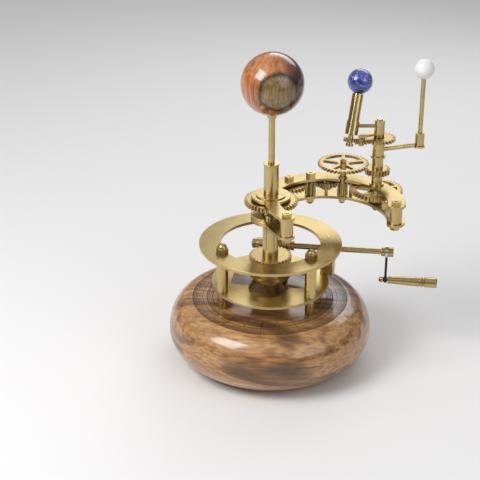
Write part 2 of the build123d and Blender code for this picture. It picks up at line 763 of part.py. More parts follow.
def spoked_wheel():
    bottom = SPOKED_TOP - SPOKED_FACE
    root = pitch_radius(SPOKED_TEETH) - DEDENDUM * MODULE
    wheel = Pos(0, 0, bottom) * extrude(gear_face(SPOKED_TEETH, 0.0), SPOKED_FACE)
    wheel = spoked(wheel, root - 1.9, 3.6, 2.2, bottom, SPOKED_TOP)
    wheel -= rod(STUD_RADIUS + RUNNING_FIT, bottom - 1, SPOKED_TOP + 1)
    return on_arm(at(wheel, *COMPOUND))


def head_gear():
    "spoked gear under the Earth column"
    bottom = TRAIN_TOP - TRAIN_FACE
    root = pitch_radius(HEAD_TEETH) - DEDENDUM * MODULE
    gear = Pos(0, 0, bottom) * extrude(gear_face(HEAD_TEETH, HEAD_PHASE), TRAIN_FACE)
    gear = spoked(gear, root - 1.9, 4.2, 2.2, bottom, TRAIN_TOP)
    gear += rod(4.2, LOW_PLATE_TOP + 1.0, bottom)
    gear -= through(HEAD_SHAFT_RADIUS)
    return on_arm(at(gear, *COLUMN))


def head_shaft():
    return on_arm(rod(HEAD_SHAFT_RADIUS, LOW_PLATE_BOTTOM - 1.5, HEAD_TOP - 1.0, *COLUMN))


def head_foot_nut():
    bottom = LOW_PLATE_BOTTOM - FACE_GAP
    return on_arm(cap_nut(*COLUMN, bottom, HEAD_SHAFT_RADIUS, 4.4, 1.9, up=False))


# Moon


def moon_gear():
    bottom = MOON_GEAR_TOP - MOON_GEAR_FACE
    gear = Pos(0, 0, bottom) * extrude(gear_face(MOON_TEETH, MOON_PHASE), MOON_GEAR_FACE)
    gear -= rod(MOON_TUBE_RADIUS, bottom - 1, MOON_GEAR_TOP + 1)
    return on_arm(at(gear, *COLUMN))


def moon_tube():
    bore = COLUMN_TUBE_RADIUS + RUNNING_FIT
    body = tube(MOON_TUBE_RADIUS, bore, MOON_GEAR_TOP - MOON_GEAR_FACE, MOON_FLANGE_TOP, *COLUMN)
    body += tube(MOON_FLANGE_RADIUS, bore, MOON_FLANGE_TOP - 1.3, MOON_FLANGE_TOP, *COLUMN)
    return on_arm(body)


def moon_boss():
    "collar over the tube's flange, with a socket for the moon arm"
    bore = COLUMN_TUBE_RADIUS + RUNNING_FIT
    body = tube(MOON_BOSS_RADIUS, bore, MOON_FLANGE_TOP, MOON_BOSS_TOP)
    arm = Rot(0, 0, MOON_ANGLE) * lying_rod(MOON_ARM_RADIUS, bore + 0.4, MOON_BOSS_RADIUS + 1, 0, MOON_ARM_HEIGHT)
    return on_arm(at(body - arm, *COLUMN))


def moon_arm():
    "rod from the boss to a flat end disc"
    end = MOON_ARM_LENGTH
    disc_top = MOON_ARM_HEIGHT - MOON_ARM_RADIUS + 1.2
    body = lying_rod(MOON_ARM_RADIUS, COLUMN_TUBE_RADIUS + RUNNING_FIT + 0.4, end, 0, MOON_ARM_HEIGHT)
    body -= rod(MOON_SOCKET_RADIUS + 0.9, MOON_ARM_HEIGHT - 5, MOON_ARM_HEIGHT + 5, end)
    body += rod(MOON_SOCKET_RADIUS + 0.9, disc_top - 1.2, disc_top, end)
    return on_arm(at(Rot(0, 0, MOON_ANGLE) * body, *COLUMN))


def moon_end():
    x = ARM_LENGTH + MOON_ARM_LENGTH * cos(radians(MOON_ANGLE))
    y = MOON_ARM_LENGTH * sin(radians(MOON_ANGLE))
    return x, y


def moon_socket():
    bottom = MOON_ARM_HEIGHT - MOON_ARM_RADIUS + 1.2
    body = rod(MOON_SOCKET_RADIUS, bottom, bottom + MOON_SOCKET_HEIGHT, *moon_end())
    return on_arm(body - rod(MOON_ROD_RADIUS, bottom + 2, bottom + 20, *moon_end()))


def moon_rod():
    bottom = MOON_ARM_HEIGHT - MOON_ARM_RADIUS + 3.2
    return on_arm(rod(MOON_ROD_RADIUS, bottom, MOON_HEIGHT - MOON_RADIUS + 2.5, *moon_end()))


def moon():
    x, y = moon_end()
    ball = Pos(x, y, MOON_HEIGHT) * Sphere(MOON_RADIUS)
    return on_arm(ball - rod(MOON_ROD_RADIUS, MOON_HEIGHT - 20, MOON_HEIGHT - MOON_RADIUS + 2.5, x, y))


# Earth head

SPIN_GEAR_TOP = MOON_BOSS_TOP + SPIN_GEAR_FACE
SPIN_MIDDLE = MOON_BOSS_TOP + SPIN_GEAR_FACE / 2
TILT = radians(EARTH_TILT)
EARTH_PITCH = EARTH_TEETH * MODULE / cos(TILT) / 2
PINION_DROP = (BAR_HEIGHT - SPIN_MIDDLE) / cos(TILT)

# Seen from above, the bar runs along -X of its own frame and the Earth leans to one side of it
LEAN = radians(TILT_ANGLE + 180.0 - SLEEVE_ANGLE)
PINION_SHIFT = (BAR_HEIGHT - SPIN_MIDDLE) * tan(TILT)
IDLER_REACH = pitch_radius(HEAD_IDLER_TEETH) + EARTH_PITCH
IDLER_ACROSS = -PINION_SHIFT * sin(LEAN) - IDLER_REACH * cos(LEAN)
IDLER_ALONG = -sqrt(pitch_radius(SPIN_TEETH + HEAD_IDLER_TEETH) ** 2 - IDLER_ACROSS**2)
SLEEVE_REACH = IDLER_REACH * sin(LEAN) - PINION_SHIFT * cos(LEAN) - IDLER_ALONG
SLEEVE_FOOT = arc_point((0, 0), SLEEVE_REACH, SLEEVE_ANGLE)
EARTH_PINION = arc_point(SLEEVE_FOOT, -PINION_SHIFT, TILT_ANGLE)
IDLER_LINE = TILT_ANGLE - 90.0


def head_idler_place():
    "beside the Earth pinion, at its meshing distance"
    return arc_point(EARTH_PINION, IDLER_REACH, IDLER_LINE)


def tilted(shape):
    "from an upright place at the origin to the Earth's tilted axis, level with the bar"
    lean = Rot(0, 0, TILT_ANGLE) * Rot(0, EARTH_TILT, 0) * shape
    return on_arm(Pos(ARM_LENGTH + SLEEVE_FOOT[0], SLEEVE_FOOT[1], BAR_HEIGHT) * lean)


def on_column(shape):
    return on_arm(at(shape, *COLUMN))


SPIN_PHASE = 0.0
HEAD_IDLER = head_idler_place()
HEAD_IDLER_PHASE = meshing_phase(SPIN_TEETH, SPIN_PHASE, direction((0, 0), HEAD_IDLER), HEAD_IDLER_TEETH)
EARTH_PHASE = meshing_phase(HEAD_IDLER_TEETH, HEAD_IDLER_PHASE, radians(IDLER_LINE + 180), EARTH_TEETH)


def spin_gear():
    "gear on top of the moon boss that drives the Earth"
    gear = extrude(gear_face(SPIN_TEETH, SPIN_PHASE), SPIN_GEAR_FACE)
    gear = Pos(0, 0, MOON_BOSS_TOP) * gear
    return on_column(gear - rod(HEAD_SHAFT_RADIUS + 0.3, MOON_BOSS_TOP - 1, SPIN_GEAR_TOP + 1))


def head_hub():
    "turned block on the head shaft"
    bottom = SPIN_GEAR_TOP + FACE_GAP
    body = rod(HEAD_HUB_RADIUS, bottom, HEAD_TOP)
    body -= rod(HEAD_SHAFT_RADIUS, bottom - 1, HEAD_TOP - 1.0)
    body -= Rot(0, 0, SLEEVE_ANGLE) * lying_rod(BAR_RADIUS, 2.2, HEAD_HUB_RADIUS + 2, 0, BAR_HEIGHT)
    return on_column(body)


def head_screw():
    "cross-slotted screw head in the hub"
    head = rod(2.0, HEAD_TOP, HEAD_TOP + 0.8)
    for turn in (45, 135):
        head -= Rot(0, 0, turn) * Pos(0, 0, HEAD_TOP + 0.8) * Box(3.2, 0.6, 0.9)
    return on_column(head)


def head_bar():
    "bar from the hub to the tilted sleeve"
    bar = lying_rod(BAR_RADIUS, 2.2, SLEEVE_REACH, 0, BAR_HEIGHT)
    bar = Rot(0, 0, SLEEVE_ANGLE) * bar
    cutter = Pos(*SLEEVE_FOOT, BAR_HEIGHT) * Rot(0, 0, TILT_ANGLE) * Rot(0, EARTH_TILT, 0) * rod(SLEEVE_LOWER_RADIUS, -20, 20)
    return on_column(bar - cutter)


def idler_stud_parts():
    "stud hung from the bar that the head idler turns on"
    x, y = HEAD_IDLER
    bottom = MOON_BOSS_TOP - 1.0
    return rod(STUD_RADIUS, bottom, BRACKET_PLATE_BOTTOM, x, y), x, y


def idler_bracket():
    "plate clamped round the hub that holds the idler stud"
    stud, x, y = idler_stud_parts()
    reach = hypot(x, y)
    heading = degrees(atan2(y, x))
    bottom = BRACKET_PLATE_BOTTOM
    top = bottom + BRACKET_PLATE_THICKNESS
    plate = Rot(0, 0, heading) * Pos(reach / 2, 0, (top + bottom) / 2) * Box(reach, 3.6, top - bottom)
    plate += rod(1.8, bottom, top, x, y)
    plate -= rod(HEAD_HUB_RADIUS, bottom - 1, top + 1)
    body = plate + stud
    body += rod(1.7, MOON_BOSS_TOP - 1.4, MOON_BOSS_TOP - FACE_GAP, x, y)
    return on_column(body)


def head_idler():
    x, y = HEAD_IDLER
    gear = at(extrude(gear_face(HEAD_IDLER_TEETH, HEAD_IDLER_PHASE), SPIN_GEAR_FACE), x, y, MOON_BOSS_TOP)
    gear += rod(2.2, SPIN_GEAR_TOP, SPIN_GEAR_TOP + 1.2, x, y)
    return on_column(gear - rod(STUD_RADIUS + RUNNING_FIT, MOON_BOSS_TOP - 2, SPIN_GEAR_TOP + 4, x, y))


def sleeve():
    "tilted bearing in two diameters"
    bore = SPINDLE_RADIUS + RUNNING_FIT
    lower = tube(SLEEVE_LOWER_RADIUS, bore, -SLEEVE_BELOW, SLEEVE_STEP)
    upper = tube(SLEEVE_UPPER_RADIUS, bore, SLEEVE_STEP, SLEEVE_ABOVE)
    return tilted(lower + upper)


def earth_pinion():
    "helical pinion across the head idler, on the tilted spindle"
    width = SPIN_GEAR_FACE + 0.6
    twist = width * tan(TILT) / EARTH_PITCH
    local = EARTH_PHASE + radians(0) - radians(TILT_ANGLE)
    transverse = MODULE / cos(TILT)
    sections = []
    for end in (-1, 1):
        face = gear_face(EARTH_TEETH, local + end * HELIX_SIGN * twist / 2, module=transverse, addendum=ADDENDUM * cos(TILT))
        sections.append(Pos(0, 0, -PINION_DROP + end * width / 2) * face)
    body = loft(sections, ruled=True)
    return tilted(body - rod(SPINDLE_RADIUS, -PINION_DROP - 5, -PINION_DROP + 5))


HELIX_SIGN = -1


def spindle():
    "Earth spindle, with a collar at the foot"
    body = rod(SPINDLE_RADIUS, -SPINDLE_BELOW, EARTH_DISTANCE - EARTH_RADIUS + 3)
    foot = rod(SPINDLE_CAP_RADIUS, -SPINDLE_BELOW, -PINION_DROP - 2.0)
    foot = fillet(foot.edges().sort_by(Axis.Z)[0], 0.8)
    return tilted(body + foot)


def earth():
    ball = Pos(0, 0, EARTH_DISTANCE) * Sphere(EARTH_RADIUS)
    return tilted(ball - rod(SPINDLE_RADIUS, 0, EARTH_DISTANCE - EARTH_RADIUS + 3))


# Crank


def crank_shaft():
    return lying_rod(SHAFT_RADIUS, -BEARING_X - BEARING_WIDTH - 3.4, SHAFT_END, SHAFT_Y, SHAFT_Z)


def worm():
    "one thread round a core, with its middle on the wheel's middle plane"
    root = WORM_PITCH_RADIUS - WORM_THREAD_DEPTH - 0.2
    tip = WORM_PITCH_RADIUS + WORM_THREAD_DEPTH
    length = WORM_TURNS * WORM_LEAD
    core = lying_rod(root, -WORM_LENGTH / 2, WORM_LENGTH / 2, 0, 0)
    thread = Pos(-length / 2, 0, 0) * Rot(0, 90, 0) * worm_thread(root, tip, length)
    body = Pos(0, SHAFT_Y, SHAFT_Z) * (core + thread)
    return body - lying_rod(SHAFT_RADIUS, -WORM_LENGTH, WORM_LENGTH, SHAFT_Y, SHAFT_Z)


def worm_thread(root, tip, length):
    path = Helix(WORM_LEAD, length, root - 0.1)
    half_root = WORM_LEAD / 4 - WORM_BACKLASH / 2 + 0.26
    half_tip = WORM_LEAD / 4 - WORM_BACKLASH / 2 - 0.26
    depth = tip - root + 0.1
    frame = Plane(origin=path @ 0, x_dir=(1, 0, 0), z_dir=path % 0)
    face = frame * make_face(Polyline((0, -half_root), (depth, -half_tip), (depth, half_tip), (0, half_root), close=True))
    return sweep(face, path, is_frenet=True)


def shaft_end_nut():
    start = -BEARING_X - BEARING_WIDTH - FACE_GAP
    body = Rot(0, -90, 0) * nut(0, 0, 0, bore=SHAFT_RADIUS, flats=6.0, height=2.6)
    return Pos(start, SHAFT_Y, SHAFT_Z) * body


def bearing_collar():
    "collar beside the right bearing"
    start = BEARING_X + BEARING_WIDTH + FACE_GAP
    return lying_rod(3.0, start, start + 2.2, SHAFT_Y, SHAFT_Z) - lying_rod(SHAFT_RADIUS, start - 1, start + 4, SHAFT_Y, SHAFT_Z)


def end_collars():
    "collar before the clamp ring and closed cap behind it"
    collar = lying_rod(COLLAR_RADIUS, CLAMP_START - COLLAR_LENGTH, CLAMP_START, SHAFT_Y, SHAFT_Z)
    cap_start = CLAMP_START + CLAMP_WIDTH
    cap = lying_rod(END_CAP_RADIUS, cap_start, cap_start + END_CAP_LENGTH, SHAFT_Y, SHAFT_Z)
    shaft = lying_rod(SHAFT_RADIUS, CLAMP_START - COLLAR_LENGTH - 1, SHAFT_END, SHAFT_Y, SHAFT_Z)
    return [collar - shaft, cap - shaft]


def clamp_ring():
    "bright ring on the shaft that the crank arm is screwed into"
    ring = lying_rod(CLAMP_RADIUS, CLAMP_START, CLAMP_START + CLAMP_WIDTH, SHAFT_Y, SHAFT_Z)
    ring -= lying_rod(SHAFT_RADIUS, CLAMP_START - 1, CLAMP_START + CLAMP_WIDTH + 1, SHAFT_Y, SHAFT_Z)
    return ring - rod(CRANK_ARM_RADIUS, SHAFT_Z - CLAMP_RADIUS - 1, SHAFT_Z - CRANK_ARM_SEAT, CRANK_ARM_X, SHAFT_Y)


def crank_arm():
    "thin rod hung from the clamp ring, with an eye for the grip pin"
    grip_z = SHAFT_Z - CRANK_THROW
    body = rod(CRANK_ARM_RADIUS, grip_z + EYE_RADIUS / 2, SHAFT_Z - CRANK_ARM_SEAT, CRANK_ARM_X, SHAFT_Y)
    body += lying_rod(EYE_RADIUS, CRANK_ARM_X - EYE_WIDTH / 2, CRANK_ARM_X + EYE_WIDTH / 2, SHAFT_Y, grip_z)
    return body - lying_rod(GRIP_PIN_RADIUS, CRANK_ARM_X - EYE_WIDTH, CRANK_ARM_X + EYE_WIDTH, SHAFT_Y, grip_z)


def grip_pin():
    grip_z = SHAFT_Z - CRANK_THROW
    start = CRANK_ARM_X - EYE_WIDTH / 2 - PIN_IN_NUT
    return lying_rod(GRIP_PIN_RADIUS, start, GRIP_START + GRIP_LENGTH - 3, SHAFT_Y, grip_z)


def ball_nut():
    "ball with a flat against the crank arm's eye"
    face = CRANK_ARM_X - EYE_WIDTH / 2
    middle = face - BALL_NUT_FLAT
    half = sqrt(BALL_NUT_RADIUS**2 - BALL_NUT_FLAT**2)
    bore_end = face - PIN_IN_NUT
    arc = ThreePointArc((face, half), (middle, BALL_NUT_RADIUS), (middle - BALL_NUT_RADIUS, 0))
    outline = [
        arc,
        Line((middle - BALL_NUT_RADIUS, 0), (bore_end, 0)),
        Line((bore_end, 0), (bore_end, GRIP_PIN_RADIUS)),
        Line((bore_end, GRIP_PIN_RADIUS), (face, GRIP_PIN_RADIUS)),
        Line((face, GRIP_PIN_RADIUS), (face, half)),
    ]
    return Pos(0, SHAFT_Y, SHAFT_Z - CRANK_THROW) * revolve(make_face(outline), Axis.X)


def grip():
    "turned handle, free on its pin"
    grip_z = SHAFT_Z - CRANK_THROW
    end = GRIP_LENGTH
    groove = end - GRIP_GROOVE_FROM_END
    full = GRIP_LARGE_RADIUS
    low = GRIP_LARGE_RADIUS - GRIP_GROOVE_DEPTH
    outline = Polyline(
        (0, 0),
        (0, GRIP_SMALL_RADIUS + 0.2),
        (0.9, GRIP_SMALL_RADIUS + 0.2),
        (1.2, GRIP_SMALL_RADIUS),
        (groove - 2.2, full - 0.2),
        (groove - 1.8, low),
        (groove - 1.2, low),
        (groove - 0.8, full),
        (groove - 0.2, full),
        (groove + 0.2, low),
        (groove + 0.8, low),
        (groove + 1.2, full),
        (end - 0.6, full),
        (end, full - 0.6),
        (end, 0),
        close=True,
    )
    body = revolve(make_face(outline), Axis.X)
    body = Pos(GRIP_START, SHAFT_Y, grip_z) * body
    bore = lying_rod(GRIP_PIN_RADIUS + RUNNING_FIT, GRIP_START - 1, GRIP_START + GRIP_LENGTH - 3 + FACE_GAP, SHAFT_Y, grip_z)
    return body - bore


PARTS = {
    "base": base,
    "felt_pad": felt,
    "lower_plate": lower_plate,
    "plate_standoffs": standoffs,
    "frame_pillars": pillars,
    "ring_plate": ring,
    "ring_cap_nuts": ring_cap_nuts,
    "ring_bracket": bracket,
    "shaft_bearings": lambda: [inner_bearing(-1), inner_bearing(1)],
    "fixed_post": post,
    "sun_gear": sun_gear,
    "sun_socket": sun_socket,
    "sun_rod": sun_rod,
    "sun_ferrule": sun_ferrule,
    "sun_ball": sun,
    "drive_wheel": drive_wheel,
    "arm_column": column,
    "upper_arm_plate": upper_arm_plate,
    "lower_arm_plate": lower_arm_plate,
    "hub_cap": hub_cap,
    "hub_screws": hub_screws,
    "flange_screws": flange_screws,
    "arm_pillars": arm_pillars,
    "arm_nuts": arm_nuts,
    "gear_studs": studs,
    "stud_nuts": stud_nuts,
    "earth_column_bush": bush,
    "first_idler": lambda: idler(IDLER_1_TEETH, IDLER_1_PHASE, IDLER_1),
    "long_pinion": pinion,
    "second_idler": lambda: idler(IDLER_2_TEETH, IDLER_2_PHASE, IDLER_2),
    "compound_pinion": compound_pinion,
    "spoked_wheel": spoked_wheel,
    "third_idler": lambda: idler(IDLER_3_TEETH, IDLER_3_PHASE, IDLER_3),
    "head_gear": head_gear,
    "head_shaft": head_shaft,
    "head_foot_nut": head_foot_nut,
    "moon_gear": moon_gear,
    "moon_tube": moon_tube,
    "moon_boss": moon_boss,
    "moon_arm": moon_arm,
    "moon_socket": moon_socket,
    "moon_rod": moon_rod,
    "moon_ball": moon,
    "spin_gear": spin_gear,
    "head_hub": head_hub,
    "head_screw": head_screw,
    "head_bar": head_bar,
    "idler_bracket": idler_bracket,
    "head_idler": head_idler,
    "tilted_sleeve": sleeve,
    "earth_pinion": earth_pinion,
    "earth_spindle": spindle,
    "earth_ball": earth,
    "crank_shaft": lambda: [crank_shaft(), bearing_collar(), shaft_end_nut()],
    "worm": worm,
    "end_collars": end_collars,
    "clamp_ring": clamp_ring,
    "crank_arm": lambda: [crank_arm(), grip_pin()],
    "ball_nut": ball_nut,
    "crank_grip": grip,
}


def write_parts():
    os.makedirs("parts", exist_ok=True)
    for name, make in PARTS.items():
        made = make()
        shapes = made if isinstance(made, list) else [made]
        solids = [solid for shape in shapes for solid in shape.solids()]
        export_step(Compound(children=solids), f"parts/{name}.step")


write_parts()
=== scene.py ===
import json
import math

import bmesh
import bpy
from mathutils import Matrix, Vector

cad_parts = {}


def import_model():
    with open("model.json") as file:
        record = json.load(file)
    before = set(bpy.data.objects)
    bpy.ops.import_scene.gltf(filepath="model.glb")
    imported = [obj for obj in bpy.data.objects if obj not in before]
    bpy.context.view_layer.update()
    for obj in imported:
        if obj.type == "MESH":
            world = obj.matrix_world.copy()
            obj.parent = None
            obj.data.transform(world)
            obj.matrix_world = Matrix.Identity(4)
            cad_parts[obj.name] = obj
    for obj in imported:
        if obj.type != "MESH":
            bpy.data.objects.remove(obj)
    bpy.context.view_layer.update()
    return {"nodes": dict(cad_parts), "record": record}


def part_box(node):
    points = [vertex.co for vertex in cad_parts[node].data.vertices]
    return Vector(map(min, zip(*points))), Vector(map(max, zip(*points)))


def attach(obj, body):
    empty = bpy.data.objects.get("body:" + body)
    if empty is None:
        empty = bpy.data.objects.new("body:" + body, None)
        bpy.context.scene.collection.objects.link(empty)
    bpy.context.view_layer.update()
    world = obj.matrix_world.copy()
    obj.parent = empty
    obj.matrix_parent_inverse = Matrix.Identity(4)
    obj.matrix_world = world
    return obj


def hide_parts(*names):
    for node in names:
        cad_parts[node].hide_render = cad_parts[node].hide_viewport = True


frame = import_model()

MM = 0.001

# Read from the frame: the slot and the body of each node

SLOT_OF = {entry["node"]: entry["material_slot"] for entry in frame["record"]["subparts"]}
BODY_OF = {}
for body_name, body_nodes in frame["record"]["behaviour"]["bodies"].items():
    for body_node in body_nodes:
        BODY_OF[body_node] = body_name


def joint_axis(body):
    "axis of the hinge that carries a body"
    for joint in frame["record"]["behaviour"]["joints"]:
        if joint["child"] == body:
            return Vector(joint["axis"])
    raise ValueError("no hinge carries " + body)


# Materials, all of them procedural; lengths in a texture scale are waves per metre

DARKEN_FROM_LINES = 0.12
METAL_BUMP = 0.04
METAL_PATINA = 0.35
PATINA_BAND = (0.45, 0.75)
CLOUD_SCALE = 90.0


class Shader:
    "short way to build a material from nodes"

    def __init__(self, name):
        self.material = bpy.data.materials.new(name)
        self.material.use_nodes = True
        self.tree = self.material.node_tree
        self.tree.nodes.clear()
        self.surface = self.add("ShaderNodeBsdfPrincipled")
        output = self.add("ShaderNodeOutputMaterial")
        self.link(self.surface.outputs[0], output.inputs["Surface"])

    def add(self, kind, **settings):
        node = self.tree.nodes.new(kind)
        for key, value in settings.items():
            if key in node.bl_rna.properties:
                setattr(node, key, value)
            else:
                node.inputs[key.replace("_", " ")].default_value = value
        return node

    def link(self, source, target):
        self.tree.links.new(source, target)

    def set(self, **values):
        for key, value in values.items():
            self.surface.inputs[key.replace("_", " ")].default_value = value

    def place(self, scale=(1, 1, 1), turn=(0, 0, 0), shift=(0, 0, 0)):
        "object coordinates, moved, turned and stretched"
        where = self.add("ShaderNodeTexCoord")
        mapping = self.add("ShaderNodeMapping")
        mapping.inputs["Location"].default_value = shift
        mapping.inputs["Rotation"].default_value = turn
        mapping.inputs["Scale"].default_value = scale
        self.link(where.outputs["Object"], mapping.inputs["Vector"])
        return mapping.outputs["Vector"]

    def noise(self, vector, scale, detail=4.0, roughness=0.55, distortion=0.0):
        node = self.add("ShaderNodeTexNoise", Scale=scale, Detail=detail)
        node.inputs["Roughness"].default_value = roughness
        node.inputs["Distortion"].default_value = distortion
        self.link(vector, node.inputs["Vector"])
        return node.outputs["Fac"]

    def ramp(self, factor, *stops):
        node = self.add("ShaderNodeValToRGB")
        band = node.color_ramp
        while len(band.elements) < len(stops):
            band.elements.new(0.5)
        for element, (place, colour) in zip(band.elements, stops):
            element.position = place
            element.color = (*colour, 1.0) if len(colour) == 3 else colour
        self.link(factor, node.inputs["Fac"])
        return node.outputs["Color"]

    def range(self, factor, low, high, from_low=0.3, from_high=0.7):
        node = self.add("ShaderNodeMapRange")
        node.inputs["From Min"].default_value = from_low
        node.inputs["From Max"].default_value = from_high
        node.inputs["To Min"].default_value = low
        node.inputs["To Max"].default_value = high
        self.link(factor, node.inputs["Value"])
        return node.outputs["Result"]

    def mix(self, factor, first, second, mode="MIX"):
        node = self.add("ShaderNodeMix", data_type="RGBA", blend_type=mode)
        sockets = (node.inputs[0], node.inputs[6], node.inputs[7])
        for value, socket in zip((factor, first, second), sockets):
            if isinstance(value, (int, float)):
                socket.default_value = value
            elif isinstance(value, tuple):
                socket.default_value = (*value, 1.0)
            else:
                self.link(value, socket)
        return node.outputs[2]

    def math(self, operation, first, second=0.0):
        node = self.add("ShaderNodeMath", operation=operation)
        for value, socket in ((first, node.inputs[0]), (second, node.inputs[1])):
            if isinstance(value, (int, float)):
                socket.default_value = value
            else:
                self.link(value, socket)
        return node.outputs[0]

    def distance(self, point):
        "distance from a point of the object's frame"
        where = self.add("ShaderNodeTexCoord")
        node = self.add("ShaderNodeVectorMath", operation="DISTANCE")
        self.link(where.outputs["Object"], node.inputs[0])
        node.inputs[1].default_value = point
        return node.outputs["Value"]

    def bump(self, height, strength, depth=0.0001):
        node = self.add("ShaderNodeBump")
        node.inputs["Strength"].default_value = strength
        node.inputs["Distance"].default_value = depth
        self.link(height, node.inputs["Height"])
        self.link(node.outputs["Normal"], self.surface.inputs["Normal"])

    def colour(self, socket):
        self.link(socket, self.surface.inputs["Base Color"])

    def rough(self, socket):
        self.link(socket, self.surface.inputs["Roughness"])


def metal(name, colour, dark, roughness, stretch, turn=(0, 0, 0), round_about=None):
    "brushed metal: lines run along the small entries of stretch, or circle the point round_about"
    shader = Shader(name)
    shader.set(Metallic=1.0)
    if round_about:
        reach = shader.math("MULTIPLY", shader.distance(round_about), stretch[1])
        node = shader.add("ShaderNodeTexNoise", noise_dimensions="1D", Scale=1.0, Detail=3.0)
        shader.link(reach, node.inputs["W"])
        lines = node.outputs["Fac"]
    else:
        lines = shader.noise(shader.place(stretch, turn), 1.0, 3.0, 0.6)
    clouds = shader.noise(shader.place(), CLOUD_SCALE, 3.0, 0.6)
    worn = shader.mix(shader.range(clouds, 0.0, METAL_PATINA, *PATINA_BAND), colour, dark)
    shader.colour(shader.mix(shader.range(lines, 0.0, DARKEN_FROM_LINES), worn, dark))
    shader.rough(shader.range(lines, roughness - 0.05, roughness + 0.06))
    shader.bump(lines, METAL_BUMP)
    return shader.material


BRASS = (0.56, 0.43, 0.19)
BRASS_DARK = (0.27, 0.20, 0.08)
GEAR = (0.50, 0.37, 0.16)
GEAR_DARK = (0.20, 0.14, 0.05)
STEEL = (0.66, 0.66, 0.65)
STEEL_DARK = (0.36, 0.36, 0.36)


WALNUT_LEAN = (0.25, 0.60, -0.35)
WALNUT_SWIRL_SHARE = 0.68


def walnut(name):
    "golden and dark swirls of varnished walnut"
    shader = Shader(name)
    shader.set(Coat_Weight=0.7, Coat_Roughness=0.12)
    swirls = shader.noise(shader.place((5, 9, 20), WALNUT_LEAN), 1.0, 3.0, 0.5, 2.2)
    streaks = shader.noise(shader.place((8, 40, 75), WALNUT_LEAN), 1.0, 4.0, 0.6, 1.8)
    fine = shader.noise(shader.place((40, 420, 700), WALNUT_LEAN), 1.0, 4.0, 0.6, 0.4)
    swirl_part = shader.math("MULTIPLY", swirls, WALNUT_SWIRL_SHARE)
    streak_part = shader.math("MULTIPLY", streaks, 1.0 - WALNUT_SWIRL_SHARE)
    wide = shader.ramp(
        shader.math("ADD", swirl_part, streak_part),
        (0.36, (0.110, 0.050, 0.020)),
        (0.43, (0.270, 0.128, 0.046)),
        (0.48, (0.540, 0.285, 0.102)),
        (0.54, (0.400, 0.198, 0.068)),
        (0.62, (0.680, 0.410, 0.165)),
    )
    lines = shader.ramp(fine, (0.35, (0.50, 0.44, 0.38)), (0.58, (1.0, 1.0, 1.0)))
    shader.colour(shader.mix(0.8, wide, lines, "MULTIPLY"))
    shader.rough(shader.range(fine, 0.26, 0.42))
    shader.bump(fine, 0.12)
    return shader.material


# Places on the Sun, in radii from its middle, and distances from them, in radii
SUN_GRAIN_LEAN = (0.1, 0.25, 0.3)
SUN_RED_SIDE = Vector((-0.75, -0.70, 0.25))
SUN_RED_TO_BROWN = (1.20, 1.50)
SUN_PATCH = Vector((0.311, -0.950, -0.008))
SUN_PATCH_TAN = (0.50, 0.58)
SUN_PATCH_RIM = (0.60, 0.72)
SUN_RIM_COLOUR = (0.030, 0.013, 0.006)
SUN_RIPPLE = 0.006


def sun_wood(name):
    """polished wood: orange-red, going to dark brown towards the right, with a tan patch in a dark rim
    """
    low, high = (Vector(corner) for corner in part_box("sun_ball"))
    middle = (low + high) / 2
    radius = (high.x - low.x) / 2
    shader = Shader(name)
    shader.set(Coat_Weight=0.8, Coat_Roughness=0.08)
    grain = shader.noise(shader.place((160, 110, 26), SUN_GRAIN_LEAN), 1.0, 5.0, 0.62, 1.4)
    fine = shader.noise(shader.place((900, 700, 90), SUN_GRAIN_LEAN), 1.0, 3.0, 0.6, 0.5)
    red = shader.ramp(
        grain,
        (0.34, (0.200, 0.055, 0.016)),
        (0.48, (0.400, 0.135, 0.036)),
        (0.64, (0.560, 0.240, 0.075)),
    )
    brown = shader.ramp(
        grain,
        (0.32, (0.030, 0.010, 0.005)),
        (0.52, (0.115, 0.040, 0.016)),
        (0.70, (0.20, 0.08, 0.03)),
    )
    ripple = shader.math("MULTIPLY", shader.math("SUBTRACT", grain, 0.5), SUN_RIPPLE)

    def rippled_distance(place):
        return shader.math("ADD", shader.distance(middle + radius * place), ripple)

    def band(distance, low_value, high_value, edges):
        return shader.range(distance, low_value, high_value, radius * edges[0], radius * edges[1])

    wood = shader.mix(band(rippled_distance(SUN_RED_SIDE), 0.0, 1.0, SUN_RED_TO_BROWN), red, brown)
    patch = rippled_distance(SUN_PATCH)
    mottle = shader.noise(shader.place((420, 420, 420)), 1.0, 2.0, 0.5)
    tan = shader.ramp(
        shader.math("ADD", shader.math("MULTIPLY", mottle, 0.3), shader.math("MULTIPLY", fine, 0.7)),
        (0.35, (0.085, 0.050, 0.014)),
        (0.62, (0.30, 0.19, 0.065)),
    )
    rimmed = shader.mix(band(patch, 1.0, 0.0, SUN_PATCH_RIM), wood, SUN_RIM_COLOUR)
    shader.colour(shader.mix(band(patch, 1.0, 0.0, SUN_PATCH_TAN), rimmed, tan))
    shader.rough(shader.range(fine, 0.20, 0.34))
    return shader.material


STONE_SCALE = 110.0
VEIN_WIDTH = 0.035
FLECK_BAND = (0.70, 0.74)


